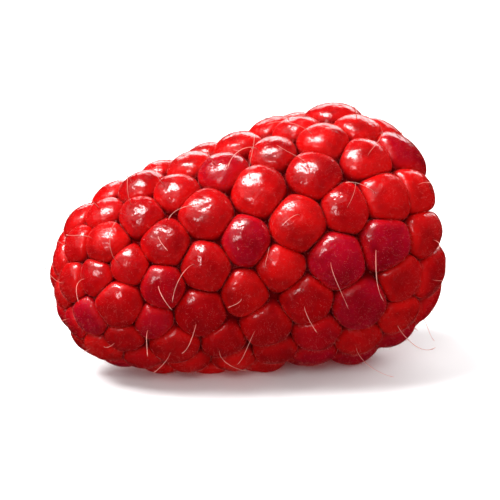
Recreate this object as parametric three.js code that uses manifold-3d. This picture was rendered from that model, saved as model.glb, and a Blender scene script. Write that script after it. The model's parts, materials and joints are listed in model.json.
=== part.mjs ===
// A ripe raspberry as picked, lying on its side: round druplets fused into one
// hollow fruit, with the tip at -X and the open mouth at +X. Units are mm, Z is up.
import * as THREE from "three";
import { mergeVertices } from "three/addons/utils/BufferGeometryUtils.js";
import Module from "manifold-3d";

const wasm = await Module();
wasm.setup();

// Size of the fruit
const LENGTH = 24.2;          // from the centre of the tip druplet to the centres at the rim
const WIDEST = 7.55;          // radius of the ring through the widest druplets' centres
const LEAN = 9;               // degrees by which the tip end is lower than the mouth end
const ROLL = 180;             // degrees turned about the long axis, onto its steadiest side

// The laid fruit's middle, and the level at which its lowest druplets are pressed flat
const MIDDLE_X = 12.831;
const MIDDLE_Y = -0.03;
const FLOOR = -6.5386;

// Druplets
const SEED = 191;
const TIP_PITCH = 3.0;        // distance between neighbouring crowns at the tip
const BASE_PITCH = 4.0;       // distance between neighbouring crowns at the widest part
const CROWN = 1.9;            // height of the crowns over the druplets' centres
const RIM_COUNT = 13;         // druplets that ring the mouth
const SWELL = 0.56;           // druplet radius as a share of the pitch
const SIZE_SPREAD = 0.09;     // how much single druplets are larger or smaller
const PACKING = 0.84;         // area that one druplet takes, in squares of the pitch
const RIM_GAP = 0.42;         // room between the spiral and the rim, as a share of the pitch
const TURN_SPREAD = 0.3;      // radians over which a druplet's turn is drawn
const SHIFT_SPREAD = 0.25;    // share of the pitch over which its place is drawn
const GOLDEN_ANGLE = Math.PI * (3 - Math.sqrt(5));

// Neighbours settle against each other
const SETTLE_ROUNDS = 40;
const SETTLE_GAP = 1.06;      // distance that they make for, in pitches
const SETTLE_STEP = 0.3;      // share of what is missing that one round makes up

// Form of a druplet, as shares of its radius
const HEIGHT = 0.98;
const RIM_WIDTH = 0.88;
const RIM_DEPTH = 1.15;
const DRUPLET_SIDES = 7;

// Hollow left by the stalk's cone
const MOUTH_RADIUS = 4.2;
const HOLLOW_DEPTH = 16.5;
const MOUTH_OUT = 1.2;        // from the rim druplets' centres out to the mouth
const TURNED_SIDES = 20;

// The line through the druplets' centres: share of the length, share of the widest radius
const BED_POINTS = [
  [0.0, 0.0],
  [0.02, 0.3],
  [0.09, 0.56],
  [0.22, 0.72],
  [0.4, 0.84],
  [0.6, 0.94],
  [0.78, 1.0],
  [0.9, 0.96],
  [0.97, 0.86],
  [1.0, 0.77],
];

// The hollow: share of its depth from the mouth, share of the mouth's radius
const HOLLOW_POINTS = [
  [-0.25, 1.25],
  [-0.05, 1.1],
  [0.06, 1.0],
  [0.25, 0.94],
  [0.55, 0.8],
  [0.8, 0.63],
  [0.95, 0.38],
  [1.0, 0.0],
];

// Outline of a druplet: degrees from its crown, and radius as a share
const DRUPLET_OUTLINE = [
  [0, 1],
  [36, 1.02],
  [70, 1.08],
  [110, 0.95],
  [180, 0.6],
];

// The same draw on every run
let drawState = SEED;
function draw() {
  drawState = (drawState * 1664525 + 1013904223) % 4294967296;
  return drawState / 4294967296;
}

// Smooth line through the given points, as many short steps
function smoothLine(points, steps) {
  const line = [];
  for (let i = 0; i < points.length - 1; i += 1) {
    const before = points[Math.max(i - 1, 0)];
    const from = points[i];
    const to = points[i + 1];
    const after = points[Math.min(i + 2, points.length - 1)];
    for (let k = 0; k < steps; k += 1) {
      const t = k / steps;
      const at = [0, 1].map((c) => 0.5 * (
        2 * from[c]
        + (to[c] - before[c]) * t
        + (2 * before[c] - 5 * from[c] + 4 * to[c] - after[c]) * t * t
        + (3 * from[c] - before[c] - 3 * to[c] + after[c]) * t * t * t
      ));
      line.push(at);
    }
  }
  line.push(points[points.length - 1]);
  return line;
}

const BED_STEPS = 24;
const bedLine = smoothLine(BED_POINTS, BED_STEPS).map(([a, b]) => [a * LENGTH, b * WIDEST]);

// Distance along the bed line from the tip to each of its points
const bedRun = [0];
for (let i = 1; i < bedLine.length; i += 1) {
  const step = Math.hypot(
    bedLine[i][0] - bedLine[i - 1][0],
    bedLine[i][1] - bedLine[i - 1][1],
  );
  bedRun.push(bedRun[i - 1] + step);
}
const BED_END = bedRun[bedRun.length - 1];

// Place on the bed line at a given run: axial place, radius and direction
function onBed(run) {
  const s = Math.min(Math.max(run, 0), BED_END);
  let i = 1;
  while (i < bedLine.length - 1 && bedRun[i] < s) {
    i += 1;
  }
  const span = bedRun[i] - bedRun[i - 1];
  const t = (s - bedRun[i - 1]) / span;
  const dx = bedLine[i][0] - bedLine[i - 1][0];
  const dr = bedLine[i][1] - bedLine[i - 1][1];
  return {
    x: bedLine[i - 1][0] + dx * t,
    r: bedLine[i - 1][1] + dr * t,
    tx: dx / span,
    tr: dr / span,
  };
}

// Axial place and radius of the crowns at a given run
function crownAt(run) {
  const bed = onBed(run);
  return [bed.x - CROWN * bed.tr, bed.r + CROWN * bed.tx];
}

// Druplets grow from small at the tip to large at the widest part
function pitchAt(run) {
  const share = Math.min(run / (0.7 * BED_END), 1);
  return TIP_PITCH + (BASE_PITCH - TIP_PITCH) * Math.pow(share, 0.8);
}

// Centre and crown of a druplet and the three directions at it
function frameOf(druplet) {
  const bed = onBed(druplet.run);
  const c = Math.cos(druplet.angle);
  const s = Math.sin(druplet.angle);
  const centre = new THREE.Vector3(bed.x, bed.r * c, bed.r * s);
  const out = new THREE.Vector3(-bed.tr, bed.tx * c, bed.tx * s);
  return {
    centre,
    out,
    along: new THREE.Vector3(bed.tx, bed.tr * c, bed.tr * s),
    around: new THREE.Vector3(0, -s, c),
    crown: centre.clone().addScaledVector(out, CROWN),
    girth: bed.r + CROWN * bed.tx,
  };
}

// A ring of druplets round the mouth, then a spiral of them from the tip up to the ring
function layDruplets() {
  const druplets = [];
  for (let k = 0; k < RIM_COUNT; k += 1) {
    const angle = (2 * Math.PI * (k + SHIFT_SPREAD * (draw() - 0.5))) / RIM_COUNT;
    const size = 1 + SIZE_SPREAD * (2 * draw() - 1);
    druplets.push({ run: BED_END, angle, size, rim: true });
  }
  const spiralEnd = BED_END - RIM_GAP * BASE_PITCH;
  const steps = 2000;
  let count = 0.35;
  let placed = 0;
  let last = crownAt(0);
  for (let k = 1; k <= steps; k += 1) {
    const run = (k * spiralEnd) / steps;
    const crown = crownAt(run);
    const step = Math.hypot(crown[0] - last[0], crown[1] - last[1]);
    last = crown;
    count += (2 * Math.PI * crown[1] * step) / (PACKING * pitchAt(run) * pitchAt(run));
    if (count >= placed + 1) {
      const angle = placed * GOLDEN_ANGLE + TURN_SPREAD * (draw() - 0.5);
      const size = 1 + SIZE_SPREAD * (2 * draw() - 1);
      const shift = SHIFT_SPREAD * pitchAt(run) * (draw() - 0.5);
      druplets.push({ run: run + shift, angle, size, rim: false });
      placed += 1;
    }
  }
  return druplets;
}

// Neighbours that are too close push each other apart along the bed
function settle(druplets) {
  for (let round = 0; round < SETTLE_ROUNDS; round += 1) {
    const frames = druplets.map(frameOf);
    druplets.forEach((druplet, i) => {
      const push = new THREE.Vector3();
      druplets.forEach((other, j) => {
        if (i === j) {
          return;
        }
        const away = frames[i].crown.clone().sub(frames[j].crown);
        const gap = away.length();
        const pitch = 0.5 * (
          pitchAt(druplet.run) * druplet.size + pitchAt(other.run) * other.size
        );
        const want = SETTLE_GAP * pitch;
        if (gap < want) {
          push.addScaledVector(away, (SETTLE_STEP * (want - gap)) / gap);
        }
      });
      const aroundStep = push.dot(frames[i].around);
      druplet.angle += aroundStep / Math.max(frames[i].girth, 1);
      if (!druplet.rim) {
        const next = druplet.run + push.dot(frames[i].along);
        druplet.run = Math.min(Math.max(next, 0), BED_END - 0.5 * BASE_PITCH);
      }
    });
  }
}

// Closed body from a geometry
function solid(geometry) {
  geometry.deleteAttribute("normal");
  geometry.deleteAttribute("uv");
  const merged = mergeVertices(geometry, 1e-5);
  const mesh = new wasm.Mesh({
    numProp: 3,
    vertProperties: new Float32Array(merged.attributes.position.array),
    triVerts: new Uint32Array(merged.index.array),
  });
  return new wasm.Manifold(mesh);
}

// Body of revolution about X from a line of (axial place, radius)
function turned(line, sides) {
  const points = line.map(([x, r]) => new THREE.Vector2(Math.max(r, 0), -x));
  points[0].x = 0;
  points[points.length - 1].x = 0;
  const geometry = new THREE.LatheGeometry(points.reverse(), sides);
  geometry.rotateZ(Math.PI / 2);
  return solid(geometry);
}

// One druplet: a ball that tapers to its root in the flesh
function drupletBody(druplet) {
  const frame = frameOf(druplet);
  const radius = SWELL * pitchAt(druplet.run) * druplet.size;
  const line = DRUPLET_OUTLINE.map(([polar, share]) => {
    const turn = (polar * Math.PI) / 180;
    return new THREE.Vector2(share * Math.sin(turn), share * Math.cos(turn));
  });
  line[0].x = 0;
  line[line.length - 1].x = 0;
  const ball = new THREE.LatheGeometry(line.reverse(), DRUPLET_SIDES);
  ball.rotateX(Math.PI / 2);
  ball.rotateZ(2 * Math.PI * draw());
  const place = new THREE.Matrix4().makeBasis(
    frame.around.clone().multiplyScalar(druplet.rim ? radius * RIM_WIDTH : radius),
    frame.along.clone().multiplyScalar(druplet.rim ? radius * RIM_DEPTH : radius),
    frame.out.clone().multiplyScalar(radius * HEIGHT),
  );
  place.setPosition(frame.centre);
  ball.applyMatrix4(place);
  return solid(ball);
}

const druplets = layDruplets();
settle(druplets);

// The flesh under the druplets, up to their centres, ends a little past the rim's
const fleshEnd = LENGTH + 0.4;
const fleshLine = BED_POINTS.map(([a, b]) => [a * LENGTH, b * WIDEST]);
const flesh = turned([...fleshLine, [fleshEnd, 0.72 * WIDEST], [fleshEnd, 0]], TURNED_SIDES);

const hollowLine = HOLLOW_POINTS.map(([a, b]) => [
  LENGTH + MOUTH_OUT - a * HOLLOW_DEPTH,
  b * MOUTH_RADIUS,
]);
hollowLine.reverse();
const hollowMouth = hollowLine[hollowLine.length - 1][0];
const hollow = turned([...hollowLine, [hollowMouth, 0]], TURNED_SIDES);

const fruit = wasm.Manifold.union([flesh, ...druplets.map(drupletBody)]).subtract(hollow);

// Lay the fruit down: roll it, lean it, and bring its middle over the origin
const laid = fruit
  .rotate([ROLL, 0, 0])
  .rotate([0, -LEAN, 0])
  .translate([-MIDDLE_X, -MIDDLE_Y, -FLOOR]);

// Its lowest druplets bear on the surface
const surface = solid(new THREE.BoxGeometry(90, 90, 10).translate(0, 0, -5));
const resting = laid.subtract(surface);

// The fruit without scraps, and with the pockets closed that druplets seal between them
const whole = resting.decompose().reduce((a, b) => (a.volume() > b.volume() ? a : b));

const mesh = whole.getMesh();
const geometry = new THREE.BufferGeometry();
geometry.setAttribute("position", new THREE.BufferAttribute(mesh.vertProperties, 3));
geometry.setIndex(new THREE.BufferAttribute(mesh.triVerts, 1));
geometry.computeVertexNormals();

const material = new THREE.MeshStandardMaterial({ color: 0xb0101c, roughness: 0.35 });
material.name = "raspberry_flesh";
const raspberry = new THREE.Mesh(geometry, material);
raspberry.name = "raspberry";

const group = new THREE.Group();
group.name = "raspberry_fruit";
group.add(raspberry);

export default group;
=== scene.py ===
# The finish of a ripe raspberry that lies on its side, as picked: its fused druplets and
# hollow, the dried styles on them and the short down over the skin and in the creases.
import json
import math

import bmesh
import bpy
import numpy as np
from mathutils import Matrix, Vector

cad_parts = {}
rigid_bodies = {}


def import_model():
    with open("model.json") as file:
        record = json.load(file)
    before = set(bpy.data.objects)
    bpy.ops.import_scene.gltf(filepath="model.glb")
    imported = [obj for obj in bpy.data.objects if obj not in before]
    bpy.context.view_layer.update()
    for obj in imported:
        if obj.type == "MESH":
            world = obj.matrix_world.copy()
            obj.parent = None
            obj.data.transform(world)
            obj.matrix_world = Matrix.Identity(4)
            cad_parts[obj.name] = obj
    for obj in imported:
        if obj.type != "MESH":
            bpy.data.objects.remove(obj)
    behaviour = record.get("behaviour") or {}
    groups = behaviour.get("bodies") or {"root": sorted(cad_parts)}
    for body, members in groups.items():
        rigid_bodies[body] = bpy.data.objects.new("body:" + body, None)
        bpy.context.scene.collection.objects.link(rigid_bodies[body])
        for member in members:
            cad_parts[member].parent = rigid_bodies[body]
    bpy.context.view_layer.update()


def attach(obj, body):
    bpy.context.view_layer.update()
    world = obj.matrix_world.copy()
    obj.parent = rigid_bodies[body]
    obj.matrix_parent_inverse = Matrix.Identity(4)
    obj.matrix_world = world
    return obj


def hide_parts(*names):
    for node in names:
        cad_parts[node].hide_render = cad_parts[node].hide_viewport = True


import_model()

# Sizes in millimetres, the same as in the part's source
LENGTH = 24.2             # from the centre of the tip druplet to the centres at the rim
WIDEST = 7.55             # radius of the ring through the widest druplets' centres
LEAN = 9                  # degrees by which the tip end is lower than the mouth end
ROLL = 180                # degrees turned about the long axis, onto its steadiest side
MIDDLE_X = 12.831
MIDDLE_Y = -0.03
FLOOR = -6.5386
SEED = 191
TIP_PITCH = 3.0           # distance between neighbouring crowns at the tip
BASE_PITCH = 4.0          # distance between neighbouring crowns at the widest part
FULL_SIZE_AT = 0.7        # share of the bed line at which they are widest
GROWTH_CURVE = 0.8
CROWN = 1.9               # height of the crowns over the druplets' centres
RIM_COUNT = 13            # druplets that ring the mouth
SWELL = 0.56              # druplet radius as a share of the pitch
SIZE_SPREAD = 0.09        # how much single druplets are larger or smaller
PACKING = 0.84            # area that one druplet takes, in squares of the pitch
RIM_GAP = 0.42            # room between the spiral and the rim, as a share of the pitch
TURN_SPREAD = 0.3         # radians over which a druplet's turn is drawn
SHIFT_SPREAD = 0.25       # share of the pitch over which its place is drawn
GOLDEN_ANGLE = math.pi * (3 - math.sqrt(5))
SETTLE_ROUNDS = 40
SETTLE_GAP = 1.06         # distance that neighbours make for, in pitches
SETTLE_STEP = 0.3         # share of what is missing that one round makes up
HEIGHT = 0.98             # form of a druplet, as shares of its radius
RIM_WIDTH = 0.88
RIM_DEPTH = 1.15
MOUTH_RADIUS = 4.2
HOLLOW_DEPTH = 16.5
MOUTH_OUT = 1.2           # from the rim druplets' centres out to the mouth
MOUTH_END = LENGTH + MOUTH_OUT
BED_STEPS = 24

# The line through the druplets' centres: share of the length, share of the widest radius
BED_POINTS = [
    (0.0, 0.0),
    (0.02, 0.3),
    (0.09, 0.56),
    (0.22, 0.72),
    (0.4, 0.84),
    (0.6, 0.94),
    (0.78, 1.0),
    (0.9, 0.96),
    (0.97, 0.86),
    (1.0, 0.77),
]

# The hollow: share of its depth from the mouth, share of the mouth's radius
HOLLOW_POINTS = [
    (-0.25, 1.25),
    (-0.05, 1.1),
    (0.06, 1.0),
    (0.25, 0.94),
    (0.55, 0.8),
    (0.8, 0.63),
    (0.95, 0.38),
    (1.0, 0.0),
]

# Only in the finish: druplets as balls that their neighbours press flat
BALL_DETAIL = 10
SPREAD = 1.1              # width of a ball that nothing presses, in radii
PRESS_HARDNESS = 9.5      # how sharply a ball turns where it is pressed
PRESS_OVERLAP = 1.04      # how far neighbours reach into each other, so that they fuse
NEAR_AXIS = 2             # druplets nearer to the axis than this don't meet the hollow
UNEVEN = 0.013            # height of the broad ripples, as a share of the radius
RIPPLE_WAVES = 3
RIPPLE_PACE = 2.2
WRINKLE = 0.0035          # height of the finer ones
WRINKLE_WAVES = 4
WRINKLE_PACE = 5.5
DENT_WIDTH = 0.16         # radians over which a crown dips
STYLE_DENT = 0.035        # depth of the dip where a style stands, as a share
BARE_DENT = 0.015         # and where none does
CLEAR = 0.01              # what every piece keeps off the surface below

# Only in the finish: the flesh under the druplets and the hollow's wall
CUP_SIDES = 132
FILL = 0.65               # height of the flesh over the druplets' centres
BED_SKIP = 8              # the flesh has a ring at every so many points of the bed line
BED_REST = 10             # and none at its last ones
# The lip round the mouth: how far out from the rim druplets' centres, and radius
LIP_POINTS = [(0.3, 6.2), (0.75, 5.6), (0.95, 5.1)]
HOLLOW_STEPS = 8
WALL_STEPS = 16
WALL_RINGS = 78
WALL_START = 0.025        # share of the hollow's depth at which its wall begins
HOLLOW_BUMP = 0.4         # height of the wall's low domes
DOME_EDGE = 0.8           # width of a dome's slope, in druplet radii
DOME_POWER = 2.2
DOME_LEAN = 0.5           # how far domes lean to the mouth, as a share of their height
SMALLEST_RING = 0.6
SHORTEST_EDGE = 0.001
MM = 0.001

# Only in the finish: where the skin's material changes
BLOCK = 4000              # vertices that are measured at once
CREASE_WIDTH = 0.45       # in druplet radii
WALL_REACH = 0.9          # skin this far outside the hollow's line still turns to wall
WALL_BLEND = 0.8
MOUTH_BLEND = 1.6
BOTTOM_OUT = 1.0
GAP_TOP = 0.55            # height under which a crease is a gap, in druplet radii
GAP_BLEND = 0.2
ON_WALL = 0.3             # share from which skin counts as the hollow's wall

# Only in the finish: one dried style on most druplets
STYLE_SHARE = 0.85        # druplets that may have one
STYLE_LEAN = 0.3          # how far it leans to the tip
STYLE_STRAY = 0.16
LOWEST_STYLE = 2.6        # none starts lower than this over the surface
STYLE_START = 0.93        # where its path starts, as a share of the druplet's radius
ROOT_DEPTH = 0.12         # how much deeper its root is sunk
STYLE_LENGTHS = (2.0, 4.4)
STYLE_GROWTH = 0.25       # share of its length that follows the druplet's size
STYLE_RADII = (0.015, 0.027)
STYLE_BENDS = (25, 120)
STYLE_CURL = 0.8
STYLE_SWAY = 0.5
STYLE_CLEAR = 0.07        # room that it keeps from the druplets and the surface
STYLE_SIDES = 5
STYLE_STEPS = 12
ROOT_WIDTH = 1.25         # its thickness at the root, and how much it loses to the end
TAPER = 0.65
KNOB = 1.9                # the knob just before its end, and the end itself
END = 0.5

# Only in the finish: the short down
GROOVE_DOWN = 6000        # hairs in the creases and the hollow
CROWN_DOWN = 34000        # hairs on the crowns
GROOVE_HAIR = 0.0055      # radii of the hairs
CROWN_HAIR = 0.0038
HAIR_LENGTHS = (0.12, 0.34)
HAIR_SPREAD = (0.75, 1.25)
HAIR_SUNK = 0.02
HAIR_STRAY = 0.5
HAIR_BEND = 0.15

draw_state = SEED


def draw():
    """The same draw as in the part's source."""
    global draw_state
    draw_state = (draw_state * 1664525 + 1013904223) % 4294967296
    return draw_state / 4294967296


def smooth_line(points, steps):
    """Smooth line through the given points, as many short steps."""
    line = []
    for i in range(len(points) - 1):
        before = points[max(i - 1, 0)]
        start = points[i]
        end = points[i + 1]
        after = points[min(i + 2, len(points) - 1)]
        for k in range(steps):
            t = k / steps
            at = []
            for c in (0, 1):
                square = 2 * before[c] - 5 * start[c] + 4 * end[c] - after[c]
                cube = 3 * start[c] - before[c] - 3 * end[c] + after[c]
                slope = end[c] - before[c]
                at.append(0.5 * (2 * start[c] + slope * t + square * t * t + cube * t * t * t))
            line.append(at)
    line.append(list(points[-1]))
    return np.array(line)


bed_line = smooth_line(BED_POINTS, BED_STEPS) * (LENGTH, WIDEST)
bed_run = np.concatenate([[0.0], np.cumsum(np.hypot(*np.diff(bed_line, axis=0).T))])
BED_END = bed_run[-1]


def on_bed(run):
    """Axial place, radius and direction on the line through the druplets' centres."""
    s = min(max(run, 0.0), BED_END)
    i = int(np.searchsorted(bed_run, s, side="left"))
    i = min(max(i, 1), len(bed_run) - 1)
    span = bed_run[i] - bed_run[i - 1]
    t = (s - bed_run[i - 1]) / span
    step = bed_line[i] - bed_line[i - 1]
    x, r = bed_line[i - 1] + step * t
    return x, r, step[0] / span, step[1] / span


def crown_at(run):
    """Axial place and radius of the crowns at a given run."""
    x, r, tx, tr = on_bed(run)
    return x - CROWN * tr, r + CROWN * tx


def pitch_at(run):
    """Druplets grow from small at the tip to large at the widest part."""
    share = min(run / (FULL_SIZE_AT * BED_END), 1)
    return TIP_PITCH + (BASE_PITCH - TIP_PITCH) * share ** GROWTH_CURVE


def frames_of(runs, angles):
    """Centres of the druplets, the directions along, around and out, crowns and girths."""
    bed = np.array([on_bed(run) for run in runs])
    c = np.cos(angles)
    s = np.sin(angles)
    centre = np.stack([bed[:, 0], bed[:, 1] * c, bed[:, 1] * s], 1)
    along = np.stack([bed[:, 2], bed[:, 3] * c, bed[:, 3] * s], 1)
    around = np.stack([0 * c, -s, c], 1)
    out = np.stack([-bed[:, 3], bed[:, 2] * c, bed[:, 2] * s], 1)
    return centre, along, around, out, centre + CROWN * out, bed[:, 1] + CROWN * bed[:, 2]


def lay_druplets():
    """A ring of druplets round the mouth, then a spiral of them from the tip to the ring."""
    runs = []
    angles = []
    sizes = []
    for k in range(RIM_COUNT):
        angles.append(2 * math.pi * (k + SHIFT_SPREAD * (draw() - 0.5)) / RIM_COUNT)
        sizes.append(1 + SIZE_SPREAD * (2 * draw() - 1))
        runs.append(BED_END)
    spiral_end = BED_END - RIM_GAP * BASE_PITCH
    steps = 2000
    count = 0.35
    placed = 0
    last = crown_at(0)
    for k in range(1, steps + 1):
        run = k * spiral_end / steps
        crown = crown_at(run)
        step = math.hypot(crown[0] - last[0], crown[1] - last[1])
        last = crown
        count += 2 * math.pi * crown[1] * step / (PACKING * pitch_at(run) * pitch_at(run))
        if count >= placed + 1:
            angles.append(placed * GOLDEN_ANGLE + TURN_SPREAD * (draw() - 0.5))
            sizes.append(1 + SIZE_SPREAD * (2 * draw() - 1))
            runs.append(run + SHIFT_SPREAD * pitch_at(run) * (draw() - 0.5))
            placed += 1
    return np.array(runs), np.array(angles), np.array(sizes)


def settle(runs, angles, sizes):
    """Neighbours that are too close push each other apart along the bed."""
    for _ in range(SETTLE_ROUNDS):
        _, along, around, _, crowns, girth = frames_of(runs, angles)
        pitches = np.array([pitch_at(run) for run in runs]) * sizes
        for i in range(len(runs)):
            away = crowns[i] - crowns
            gap = np.linalg.norm(away, axis=1)
            gap[i] = 1.0
            want = SETTLE_GAP * 0.5 * (pitches[i] + pitches)
            near = gap < want
            near[i] = False
            push = (away[near] * (SETTLE_STEP * (want - gap) / gap)[near, None]).sum(0)
            angles[i] += push @ around[i] / max(girth[i], 1)
            if i >= RIM_COUNT:
                moved = runs[i] + push @ along[i]
                runs[i] = min(max(moved, 0), BED_END - 0.5 * BASE_PITCH)
                pitches[i] = pitch_at(runs[i]) * sizes[i]


runs, angles, sizes = lay_druplets()
settle(runs, angles, sizes)
centres, alongs, arounds, outs, _, _ = frames_of(runs, angles)
COUNT = len(runs)
is_rim = np.arange(COUNT) < RIM_COUNT
radii = SWELL * np.array([pitch_at(run) for run in runs]) * sizes
chance = np.random.default_rng(SEED)

# From the fruit's own frame to the part's frame
roll = Matrix.Rotation(math.radians(ROLL), 3, "X")
lean = Matrix.Rotation(math.radians(-LEAN), 3, "Y")
laying = np.array(lean @ roll)
middle = np.array([MIDDLE_X, MIDDLE_Y, FLOOR])
below = np.array([0.0, 0.0, -1.0]) @ laying


def laid(points):
    """Points of the fruit's own frame in the part's frame, in metres."""
    return (points @ laying.T - middle) * MM


def hollow_radius(x):
    """Radius of the hollow at a place along the axis."""
    line = smooth_line(HOLLOW_POINTS, HOLLOW_STEPS)
    places = MOUTH_END - line[:, 0] * HOLLOW_DEPTH
    return np.interp(x, places[::-1], line[::-1, 1] * MOUTH_RADIUS)


def ball_net(detail):
    """Directions and triangles of an even net over a ball."""
    net = bmesh.new()
    bmesh.ops.create_icosphere(net, subdivisions=1, radius=1.0)
    corners = np.array([v.co for v in net.verts])
    faces = [[v.index for v in f.verts] for f in net.faces]
    net.free()
    points = {}
    triangles = []

    def index_of(position):
        key = tuple(np.round(position, 6))
        return points.setdefault(key, len(points))

    for a, b, c in (corners[f] for f in faces):
        grid = {}
        for i in range(detail + 1):
            for j in range(detail + 1 - i):
                at = a + (b - a) * i / detail + (c - a) * j / detail
                grid[i, j] = index_of(at / np.linalg.norm(at))
        for i in range(detail):
            for j in range(detail - i):
                triangles.append((grid[i, j], grid[i + 1, j], grid[i, j + 1]))
                if i + j < detail - 1:
                    triangles.append((grid[i + 1, j], grid[i + 1, j + 1], grid[i, j + 1]))
    return np.array(list(points)), triangles


ball_points, ball_faces = ball_net(BALL_DETAIL)
style_ways = outs - STYLE_LEAN * alongs + chance.normal(0, STYLE_STRAY, (COUNT, 3))
style_ways /= np.linalg.norm(style_ways, axis=1)[:, None]
has_style = chance.random(COUNT) < STYLE_SHARE
waves = chance.normal(0, RIPPLE_PACE, (COUNT, RIPPLE_WAVES, 3))
phases = chance.uniform(0, 2 * math.pi, (COUNT, RIPPLE_WAVES))
fine_waves = chance.normal(0, WRINKLE_PACE, (COUNT, WRINKLE_WAVES, 3))
fine_phases = chance.uniform(0, 2 * math.pi, (COUNT, WRINKLE_WAVES))


def druplet_points(i):
    """A ball swollen against its neighbours, the hollow and the surface below."""
    u = ball_points
    wide = radii[i] * SPREAD * (RIM_WIDTH if is_rim[i] else 1.0)
    long = radii[i] * SPREAD * (RIM_DEPTH if is_rim[i] else 1.0)
    deep = radii[i] * HEIGHT
    free = np.sqrt(
        (u @ arounds[i] / wide) ** 2
        + (u @ alongs[i] / long) ** 2
        + (u @ outs[i] / deep) ** 2
    )
    total = free ** PRESS_HARDNESS
    for j in range(COUNT):
        way = centres[j] - centres[i]
        gap = np.linalg.norm(way)
        if j == i or gap > radii[i] + radii[j]:
            continue
        reach = (gap * gap + radii[i] ** 2 - radii[j] ** 2) / (2 * gap) * PRESS_OVERLAP
        total += (np.maximum(u @ way / gap, 0) / reach) ** PRESS_HARDNESS
    radial = centres[i] * (0, 1, 1)
    from_axis = np.linalg.norm(radial)
    room = from_axis - hollow_radius(centres[i][0])
    if from_axis > NEAR_AXIS and centres[i][0] > MOUTH_END - HOLLOW_DEPTH:
        total += (np.maximum(u @ -radial / from_axis, 0) / room) ** PRESS_HARDNESS
    length = total ** (-1 / PRESS_HARDNESS)
    ripple = sum(np.sin(u @ waves[i, k] + phases[i, k]) for k in range(RIPPLE_WAVES))
    finer = sum(np.sin(u @ fine_waves[i, k] + fine_phases[i, k]) for k in range(WRINKLE_WAVES))
    length *= 1 + UNEVEN * ripple + WRINKLE * finer
    dent = np.exp(-(np.arccos(np.clip(u @ style_ways[i], -1, 1)) / DENT_WIDTH) ** 2)
    length *= 1 - (STYLE_DENT if has_style[i] else BARE_DENT) * dent
    height = laid(centres[i])[2] / MM - CLEAR
    low = np.maximum(u @ below, 1e-6)
    length = np.minimum(length, height / low)
    return centres[i] + u * length[:, None]


def mesh_of(name, points, faces, source=COUNT):
    """A mesh from points and faces, which all carry the number of the body they come from."""
    mesh = bpy.data.meshes.new(name)
    mesh.from_pydata([tuple(p) for p in points], [], [tuple(f) for f in faces])
    mesh.validate()
    layer = mesh.attributes.new("source", "INT", "FACE")
    layer.data.foreach_set("value", np.full(len(mesh.polygons), source, np.int32))
    return mesh


def cup_mesh():
    """The flesh under the druplets, with the hollow's wall raised in low domes."""
    beds = [on_bed(run) for run in bed_run[:-BED_REST:BED_SKIP]]
    outer = np.array([(x - FILL * tr, r + FILL * tx) for x, r, tx, tr in beds])
    outer[0, 1] = 0
    lip = np.array([(LENGTH + past, radius) for past, radius in LIP_POINTS])
    share = np.linspace(0.0, 1.0, WALL_RINGS)
    line = smooth_line(HOLLOW_POINTS, WALL_STEPS)
    inner_r = np.interp(share, line[:, 0], line[:, 1]) * MOUTH_RADIUS
    inner = np.stack([MOUTH_END - share * HOLLOW_DEPTH, inner_r], 1)
    inner = inner[share > WALL_START]
    profile = np.concatenate([outer, lip, inner])
    first_inner = len(outer) + len(lip)
    turns = np.arange(CUP_SIDES) * 2 * math.pi / CUP_SIDES
    points = []
    for k, (x, r) in enumerate(profile[1:-1], 1):
        ring = np.stack([np.full(CUP_SIDES, x), r * np.cos(turns), r * np.sin(turns)], 1)
        if k >= first_inner:
            depth = (MOUTH_END - x) / HOLLOW_DEPTH
            bx, br, _, _ = on_bed(BED_END * (1 - depth))
            behind = np.stack([np.full(CUP_SIDES, bx), br * np.cos(turns), br * np.sin(turns)], 1)
            apart = np.linalg.norm(behind[:, None] - centres[None], axis=2) / radii
            apart.sort(axis=1)
            edge = np.clip((apart[:, 1] - apart[:, 0]) / DOME_EDGE, 0, 1)
            near_bottom = min(1, 4 * (1 - depth))
            near_mouth = min(1, 0.5 + 8 * max(depth, 0))
            bump = HOLLOW_BUMP * (1 - (1 - edge) ** DOME_POWER) * (near_bottom * near_mouth)
            ring[:, 1:] *= (1 - bump / max(r, SMALLEST_RING))[:, None]
            ring[:, 0] += DOME_LEAN * bump * depth
        points.extend(ring)
    last = len(points)
    points.append(np.array([profile[0][0], 0, 0]))
    points.append(np.array([profile[-1][0], 0, 0]))
    faces = []
    rings = len(profile) - 2
    for k in range(CUP_SIDES):
        n = (k + 1) % CUP_SIDES
        faces.append((last, n, k))
        faces.append((last + 1, (rings - 1) * CUP_SIDES + k, (rings - 1) * CUP_SIDES + n))
        for j in range(rings - 1):
            a = j * CUP_SIDES
            b = a + CUP_SIDES
            faces.append((a + k, a + n, b + n, b + k))
    mesh = mesh_of("raspberry_flesh", points, faces)
    shape = bmesh.new()
    shape.from_mesh(mesh)
    bmesh.ops.recalc_face_normals(shape, faces=shape.faces)
    shape.to_mesh(mesh)
    shape.free()
    return mesh


def without_slivers(mesh):
    """Only triangles, and without the tiny edges that the union leaves."""
    net = bmesh.new()
    net.from_mesh(mesh)
    bmesh.ops.triangulate(net, faces=net.faces)
    bmesh.ops.remove_doubles(net, verts=net.verts, dist=SHORTEST_EDGE)
    net.to_mesh(mesh)
    net.free()


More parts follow.
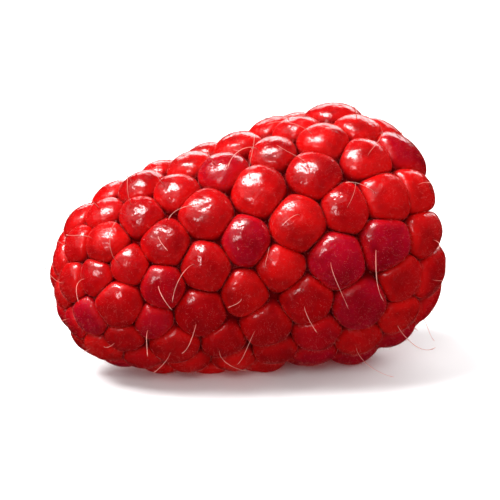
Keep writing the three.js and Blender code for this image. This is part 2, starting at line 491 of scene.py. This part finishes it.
def fused_fruit():
    """All druplets and the flesh in one closed skin."""
    base = bpy.data.objects.new("raspberry_flesh", cup_mesh())
    bpy.context.collection.objects.link(base)
    group = bpy.data.collections.new("druplets")
    bpy.context.scene.collection.children.link(group)
    for i in range(COUNT):
        mesh = mesh_of(f"druplet_{i}", druplet_points(i), ball_faces, i)
        group.objects.link(bpy.data.objects.new(f"druplet_{i}", mesh))
    union = base.modifiers.new("fuse", "BOOLEAN")
    union.operation = "UNION"
    union.operand_type = "COLLECTION"
    union.collection = group
    union.solver = "MANIFOLD"
    bpy.context.view_layer.update()
    graph = bpy.context.evaluated_depsgraph_get()
    fused = bpy.data.meshes.new_from_object(base.evaluated_get(graph))
    base.modifiers.clear()
    without_slivers(fused)
    base.data = fused
    for o in list(group.objects):
        bpy.data.objects.remove(o)
    bpy.data.collections.remove(group)
    return base


def points_of(mesh):
    """A mesh's vertices as an array."""
    flat = np.zeros(len(mesh.vertices) * 3)
    mesh.vertices.foreach_get("co", flat)
    return flat.reshape(-1, 3)


def crease_edges(mesh):
    """Marks the edges between two bodies as sharp, so that only the creases look cut."""
    source = np.zeros(len(mesh.polygons), np.int32)
    mesh.attributes["source"].data.foreach_get("value", source)
    loops = np.zeros(len(mesh.loops), np.int32)
    mesh.loops.foreach_get("edge_index", loops)
    sides = np.zeros(len(mesh.polygons), np.int32)
    mesh.polygons.foreach_get("loop_total", sides)
    of_loop = np.repeat(source, sides)
    low = np.full(len(mesh.edges), COUNT + 1)
    high = np.full(len(mesh.edges), -1)
    np.minimum.at(low, loops, of_loop)
    np.maximum.at(high, loops, of_loop)
    sharp = mesh.attributes.new("sharp_edge", "BOOLEAN", "EDGE")
    sharp.data.foreach_set("value", low != high)


def number_on(mesh, name, values):
    """A number for each vertex, for the material to read."""
    layer = mesh.attributes.new(name, "FLOAT", "POINT")
    layer.data.foreach_set("value", np.ascontiguousarray(values, dtype=np.float32))


fruit = fused_fruit()
own = points_of(fruit.data)

# For each vertex, its nearest druplet, and how far it is from that one and from the next
nearest = np.zeros(len(own), int)
first = np.zeros(len(own))
second = np.zeros(len(own))
for at in range(0, len(own), BLOCK):
    block = own[at:at + BLOCK]
    apart = np.linalg.norm(block[:, None] - centres[None], axis=2) / radii
    nearest[at:at + BLOCK] = apart.argmin(axis=1)
    two = np.partition(apart, 1, axis=1)
    first[at:at + BLOCK] = two[:, 0]
    second[at:at + BLOCK] = two[:, 1]

# Where the skin is a crown, a crease, the hollow's wall or a gap between druplets
crown = np.einsum("ij,ij->i", own - centres[nearest], outs[nearest]) / radii[nearest]
groove = 1 - np.clip((second - first) / CREASE_WIDTH, 0, 1)
off_axis = np.hypot(own[:, 1], own[:, 2])
wall = hollow_radius(own[:, 0])
inside = np.clip((wall + WALL_REACH - off_axis) / WALL_BLEND, 0, 1)
inside *= np.clip((LENGTH + MOUTH_BLEND - own[:, 0]) / MOUTH_BLEND, 0, 1)
inside *= own[:, 0] > LENGTH + BOTTOM_OUT - HOLLOW_DEPTH
# gap marks the low creases between druplets, where the material paints shade
gap = np.clip((GAP_TOP - crown) / GAP_BLEND, 0, 1) * np.clip(2 * groove, 0, 1) * (1 - inside)
tones = chance.uniform(0, 1, COUNT)
number_on(fruit.data, "tone", tones[nearest])
number_on(fruit.data, "groove", groove)
number_on(fruit.data, "inside", inside)
number_on(fruit.data, "gap", gap)
fruit.data.vertices.foreach_set("co", laid(own).ravel())
fruit.data.update()
fruit.data.shade_smooth()
crease_edges(fruit.data)


def material(name):
    """A new material and short ways to add and join its nodes."""
    made = bpy.data.materials.new(name)
    made.use_nodes = True
    tree = made.node_tree
    shader = tree.nodes["Principled BSDF"]

    def node(kind, **values):
        new = tree.nodes.new(kind)
        for key, value in values.items():
            if hasattr(new, key):
                setattr(new, key, value)
            else:
                new.inputs[key.replace("_", " ")].default_value = value
        return new

    return made, tree, shader, node


def mixed(tree, node, share, low, high):
    """One colour blended into another by a share."""
    mix = node("ShaderNodeMix", data_type="RGBA")
    for socket, value in ((mix.inputs[0], share), (mix.inputs[6], low), (mix.inputs[7], high)):
        if isinstance(value, (tuple, float)):
            socket.default_value = value
        else:
            tree.links.new(value, socket)
    return mix.outputs[2]


def ranged(tree, node, value, low, high, to_low, to_high):
    """A number moved from one range into another."""
    made = node("ShaderNodeMapRange")
    made.inputs["From Min"].default_value = low
    made.inputs["From Max"].default_value = high
    made.inputs["To Min"].default_value = to_low
    made.inputs["To Max"].default_value = to_high
    tree.links.new(value, made.inputs["Value"])
    return made.outputs["Result"]


def skin_material():
    """Thin moist skin over red juice, paler and duller in the hollow, with a painted glow in the
    creases and painted shade in the gaps between druplets.
    """
    made, tree, shader, node = material("raspberry_skin")
    reads = {}
    for name in ("tone", "groove", "inside", "gap"):
        reads[name] = node("ShaderNodeAttribute", attribute_name=name).outputs["Fac"]
    place = node("ShaderNodeTexCoord").outputs["Object"]
    cloud = node("ShaderNodeTexNoise", Scale=420.0, Detail=3.0, Roughness=0.55)
    grain = node("ShaderNodeTexNoise", Scale=2600.0, Detail=3.0, Roughness=0.6)
    wrinkle = node("ShaderNodeTexNoise", Scale=1300.0, Detail=2.0, Roughness=0.5)
    for texture in (cloud, grain, wrinkle):
        tree.links.new(place, texture.inputs["Vector"])

    # deep: a darker red for the random clouds, and painted shade in the gaps
    deep = (0.17, 0.0006, 0.0022, 1)
    red = (0.40, 0.0016, 0.0035, 1)
    bright = (0.56, 0.0045, 0.0045, 1)
    purple = (0.38, 0.0015, 0.018, 1)
    painted_crease_glow = (0.66, 0.006, 0.005, 1)
    body = mixed(tree, node, ranged(tree, node, reads["tone"], 0.2, 1.0, 0, 1), red, bright)
    is_purple = ranged(tree, node, reads["tone"], 0.2, 0.05, 0, 0.7)
    body = mixed(tree, node, is_purple, body, purple)
    clouds = ranged(tree, node, cloud.outputs["Fac"], 0.4, 0.7, 0, 0.7)
    body = mixed(tree, node, clouds, body, deep)
    # painted glow: the creases are painted a brighter red for the light that scatters between the
    # druplets
    between = ranged(tree, node, reads["groove"], 0.3, 1.0, 0, 0.6)
    body = mixed(tree, node, between, body, painted_crease_glow)
    # painted shade: the gaps between druplets are painted deep red
    body = mixed(tree, node, reads["gap"], body, deep)
    stretched = node("ShaderNodeMapping")
    stretched.inputs["Scale"].default_value = (0.12, 1, 1)
    tree.links.new(place, stretched.inputs["Vector"])
    fibre = node("ShaderNodeTexNoise", Scale=1500.0, Detail=2.0)
    tree.links.new(stretched.outputs["Vector"], fibre.inputs["Vector"])
    wall_red = (0.85, 0.022, 0.012, 1)
    wall_pale = (0.95, 0.10, 0.06, 1)
    wall_colour = mixed(
        tree, node, ranged(tree, node, fibre.outputs["Fac"], 0.4, 0.65, 0, 0.8), wall_red, wall_pale
    )
    body = mixed(tree, node, reads["inside"], body, wall_colour)
    tree.links.new(body, shader.inputs["Base Color"])

    gloss = ranged(tree, node, wrinkle.outputs["Fac"], 0.35, 0.65, 0.14, 0.26)
    for name, share in (("inside", 0.25), ("groove", 0.06)):
        dull = node("ShaderNodeMath", operation="MULTIPLY_ADD")
        tree.links.new(reads[name], dull.inputs[0])
        dull.inputs[1].default_value = share
        tree.links.new(gloss, dull.inputs[2])
        gloss = dull.outputs[0]
    tree.links.new(gloss, shader.inputs["Roughness"])

    shine = node("ShaderNodeMath", operation="MULTIPLY_ADD")
    shine.inputs[1].default_value = -0.35
    tree.links.new(reads["inside"], shine.inputs[0])
    tree.links.new(ranged(tree, node, reads["gap"], 0.0, 1.0, 0.5, 0.0), shine.inputs[2])
    tree.links.new(shine.outputs[0], shader.inputs["Specular IOR Level"])

    fine = node("ShaderNodeBump", Strength=0.14, Distance=0.00008)
    tree.links.new(grain.outputs["Fac"], fine.inputs["Height"])
    broad = node("ShaderNodeBump", Strength=0.4, Distance=0.00026)
    tree.links.new(wrinkle.outputs["Fac"], broad.inputs["Height"])
    tree.links.new(fine.outputs["Normal"], broad.inputs["Normal"])
    tree.links.new(broad.outputs["Normal"], shader.inputs["Normal"])
    shader.inputs["IOR"].default_value = 1.36
    shader.inputs["Subsurface Weight"].default_value = 0.8
    shader.inputs["Subsurface Radius"].default_value = (1.0, 0.06, 0.05)
    shader.inputs["Subsurface Scale"].default_value = 0.0013
    shader.inputs["Sheen Weight"].default_value = 0.16
    shader.inputs["Sheen Roughness"].default_value = 0.15
    shader.inputs["Sheen Tint"].default_value = (1.0, 0.45, 0.42, 1)
    return made


def hair_material(name, root, end, whole):
    """Dry plant hair, redder at its root and in its own colour from a share of its length."""
    made, tree, shader, node = material(name)
    along = node("ShaderNodeAttribute", attribute_name="along").outputs["Fac"]
    place = node("ShaderNodeTexCoord").outputs["Object"]
    streak = node("ShaderNodeTexNoise", Scale=900.0, Detail=2.0)
    tree.links.new(place, streak.inputs["Vector"])
    colour = mixed(tree, node, ranged(tree, node, along, 0.0, whole, 0, 1), root, end)
    darker = tuple(0.6 * c for c in end[:3]) + (1,)
    spots = ranged(tree, node, streak.outputs["Fac"], 0.45, 0.65, 0, 0.6)
    colour = mixed(tree, node, spots, colour, darker)
    tree.links.new(colour, shader.inputs["Base Color"])
    shader.inputs["Roughness"].default_value = 0.5
    shader.inputs["Specular IOR Level"].default_value = 0.15
    return made


def kept_off(point, gap):
    """The point, moved out of any druplet that it would be in, and up off the surface."""
    for _ in range(3):
        way = point - centres
        far = np.linalg.norm(way, axis=1)
        worst = int((far - radii).argmin())
        if far[worst] < radii[worst] + gap:
            point = centres[worst] + way[worst] / far[worst] * (radii[worst] + gap)
    height = laid(point)[2] / MM
    if height < gap:
        point = point - below * (gap - height)
    return point


def styles_mesh():
    """One dried style on most druplets: a thin bent tube with a small knob."""
    points = []
    faces = []
    alongs_of = []
    sides = STYLE_SIDES
    steps = STYLE_STEPS
    for i in np.flatnonzero(has_style):
        start = centres[i] + style_ways[i] * radii[i] * STYLE_START
        if laid(start)[2] < LOWEST_STYLE * MM:
            continue
        side = np.cross(style_ways[i], chance.normal(0, 1, 3))
        side /= np.linalg.norm(side)
        length = chance.uniform(*STYLE_LENGTHS) * (1 - STYLE_GROWTH + STYLE_GROWTH * sizes[i])
        bend = math.radians(chance.uniform(*STYLE_BENDS))
        sway = chance.uniform(-STYLE_SWAY, STYLE_SWAY)
        across = np.cross(style_ways[i], side)
        thick = chance.uniform(*STYLE_RADII)
        path = [start]
        for k in range(1, steps + 1):
            t = k / steps
            turn = bend * t ** STYLE_CURL
            way = style_ways[i] * math.cos(turn) + side * math.sin(turn)
            way = way + across * sway * math.sin(3 * t)
            way /= np.linalg.norm(way)
            point = path[-1] + way * length / steps
            path.append(point if k < 2 else kept_off(point, STYLE_CLEAR))
        path = np.array(path)
        path[0] -= ROOT_DEPTH * style_ways[i]
        first_point = len(points)
        for k in range(steps + 1):
            ahead = path[min(k + 1, steps)] - path[max(k - 1, 0)]
            ahead /= np.linalg.norm(ahead)
            u = np.cross(ahead, across + 0.01)
            u /= np.linalg.norm(u)
            v = np.cross(ahead, u)
            t = k / steps
            wide = thick * (ROOT_WIDTH - TAPER * t) * (KNOB if k == steps - 1 else 1)
            wide *= END if k == steps else 1
            for s in range(sides):
                a = 2 * math.pi * s / sides
                points.append(path[k] + wide * (math.cos(a) * u + math.sin(a) * v))
                alongs_of.append(t)
        for k in range(steps):
            for s in range(sides):
                a = first_point + k * sides + s
                b = first_point + k * sides + (s + 1) % sides
                faces.append((a, b, b + sides, a + sides))
        faces.append([first_point + s for s in reversed(range(sides))])
        faces.append([first_point + steps * sides + s for s in range(sides)])
    spots = laid(np.array(points))
    spots[:, 2] = np.maximum(spots[:, 2], CLEAR * MM)
    mesh = mesh_of("raspberry_styles", spots, faces)
    number_on(mesh, "along", np.array(alongs_of))
    mesh.shade_smooth()
    return mesh


def down_mesh(name, count, wanted, thick):
    """Short fine hairs, strewn over the skin where they are wanted."""
    fruit.data.calc_loop_triangles()
    corners = np.zeros(3 * len(fruit.data.loop_triangles), np.int32)
    fruit.data.loop_triangles.foreach_get("vertices", corners)
    corners = corners.reshape(-1, 3)
    a, b, c = (own[corners[:, k]] for k in range(3))
    facing = np.cross(b - a, c - a)
    size = np.linalg.norm(facing, axis=1)
    likely = size * wanted[corners].mean(axis=1)
    chosen = chance.choice(len(corners), count, p=likely / likely.sum())
    facing = facing[chosen] / size[chosen, None]
    u, v = chance.random((2, count, 1))
    over = (u + v) > 1
    u = np.where(over, 1 - u, u)
    v = np.where(over, 1 - v, v)
    root = a[chosen] + u * (b - a)[chosen] + v * (c - a)[chosen] - HAIR_SUNK * facing
    way = facing + chance.normal(0, HAIR_STRAY, (count, 3))
    way /= np.linalg.norm(way, axis=1)[:, None]
    side = np.cross(way, chance.normal(0, 1, (count, 3)))
    side /= np.linalg.norm(side, axis=1)[:, None]
    across = np.cross(way, side)
    length = chance.uniform(*HAIR_LENGTHS, (count, 1))
    wide = thick * chance.uniform(*HAIR_SPREAD, (count, 1))
    parts = [root + way * length + side * length * HAIR_BEND]
    for k in range(3):
        turn = 2 * math.pi * k / 3
        parts.append(root + wide * (math.cos(turn) * side + math.sin(turn) * across))
    spots = laid(np.stack(parts, 1).reshape(-1, 3))
    spots[:, 2] = np.maximum(spots[:, 2], CLEAR * MM)
    hair = np.array([(0, 1, 2), (0, 2, 3), (0, 3, 1), (3, 2, 1)])
    faces = (4 * np.arange(count)[:, None, None] + hair).reshape(-1, 3)
    mesh = bpy.data.meshes.new(name)
    mesh.from_pydata(spots, [], faces)
    number_on(mesh, "along", np.tile([1.0, 0, 0, 0], count))
    return mesh


fruit.data.materials.clear()
fruit.data.materials.append(skin_material())
dry = hair_material("dry_style", (0.60, 0.05, 0.04, 1), (0.85, 0.36, 0.30, 1), 0.5)
fine = hair_material("fine_down", (0.72, 0.04, 0.036, 1), (0.82, 0.20, 0.17, 1), 0.6)
red_down = hair_material("groove_down", (0.70, 0.035, 0.03, 1), (0.82, 0.20, 0.16, 1), 0.8)
outside = (crown > 0.1) | (inside > ON_WALL)
in_grooves = (0.02 + groove ** 2 + 0.5 * inside) * outside
on_crowns = np.clip(crown, 0, 1) * (1 - groove) * (inside < ON_WALL)
pieces = [
    ("raspberry_styles", styles_mesh(), dry),
    ("raspberry_down", down_mesh("raspberry_down", GROOVE_DOWN, in_grooves, GROOVE_HAIR), red_down),
    ("raspberry_bloom", down_mesh("raspberry_bloom", CROWN_DOWN, on_crowns, CROWN_HAIR), fine),
]
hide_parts("raspberry")
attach(fruit, "root")
for name, mesh, finish in pieces:
    piece = bpy.data.objects.new(name, mesh)
    bpy.context.collection.objects.link(piece)
    mesh.materials.append(finish)
    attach(piece, "root")

# Pale floor, in metres
SIDE = 3
BACK = 5
floor_corners = [(-SIDE, -SIDE, 0), (SIDE, -SIDE, 0), (SIDE, BACK, 0), (-SIDE, BACK, 0)]
floor = bpy.data.objects.new("floor", mesh_of("floor", floor_corners, [(0, 1, 2, 3)]))
bpy.context.collection.objects.link(floor)
pale, _, pale_shader, _ = material("pale_floor")
pale_shader.inputs["Base Color"].default_value = (0.93, 0.93, 0.935, 1)
pale_shader.inputs["Roughness"].default_value = 0.9
pale_shader.inputs["Specular IOR Level"].default_value = 0.1
floor.data.materials.append(pale)


# Lamps, in metres, degrees and watts, aimed at the middle of the fruit
LAMP_AIM = Vector((0, 0, 0.01))
WORLD_LIGHT = 0.5


def softbox(name, place, wide, high, turn, power):
    """A soft rectangular lamp, turned about its own axis."""
    lamp = bpy.data.lights.new(name, "AREA")
    lamp.shape = "RECTANGLE"
    lamp.size = wide
    lamp.size_y = high
    lamp.energy = power
    o = bpy.data.objects.new(name, lamp)
    bpy.context.collection.objects.link(o)
    o.location = place
    facing = (LAMP_AIM - Vector(place)).to_track_quat("-Z", "Y")
    o.rotation_euler = (facing.to_matrix() @ Matrix.Rotation(math.radians(turn), 3, "Z")).to_euler()
    return o


key = softbox("key", (-0.30, 0.06, 0.52), 0.40, 0.30, 40, 6.0)
fill = softbox("fill", (-0.25, -0.75, 0.45), 0.50, 0.50, 0, 3.9)
mouth = softbox("mouth", (0.50, 0.10, 0.25), 0.40, 0.40, 0, 1.2)
softbox("rim", (0.20, 0.55, 0.30), 0.60, 0.30, 0, 3.0)
shine = softbox("shine", (-0.22, 0.0, 0.54), 0.36, 0.16, 48, 8.5)
glint = softbox("glint", (-0.35, -0.34, 0.25), 0.16, 0.07, 30, 1.0)
veil = softbox("veil", (-0.30, -0.05, 0.50), 0.80, 0.60, 48, 1.8)

# Some only light the skin and some only shine on it, and the floor does neither
for unseen in (key, fill, mouth, floor):
    unseen.visible_glossy = False
for unseen in (shine, glint, veil, floor):
    unseen.visible_diffuse = False

world = bpy.data.worlds.new("studio")
world.use_nodes = True
world.node_tree.nodes["Background"].inputs["Color"].default_value = (1, 1, 1, 1)
world.node_tree.nodes["Background"].inputs["Strength"].default_value = WORLD_LIGHT
world.cycles_visibility.glossy = False
bpy.context.scene.world = world
bpy.context.scene.view_settings.view_transform = "Standard"

# Camera, at the height above the horizon that the picture was taken from
AZIMUTH = math.radians(-14)
ELEVATION = math.radians(15)
DISTANCE = 0.225
LENS = 218
NEAREST_SEEN = 0.01
aim = Vector((0.0004, 0, 0.0088))
back = Vector((
    math.sin(AZIMUTH) * math.cos(ELEVATION),
    -math.cos(AZIMUTH) * math.cos(ELEVATION),
    math.sin(ELEVATION),
))
lens = bpy.data.cameras.new("camera")
lens.lens = LENS
lens.clip_start = NEAREST_SEEN
camera = bpy.data.objects.new("camera", lens)
bpy.context.collection.objects.link(camera)
camera.location = aim + back * DISTANCE
camera.rotation_euler = (-back).to_track_quat("-Z", "Y").to_euler()
bpy.context.scene.camera = camera
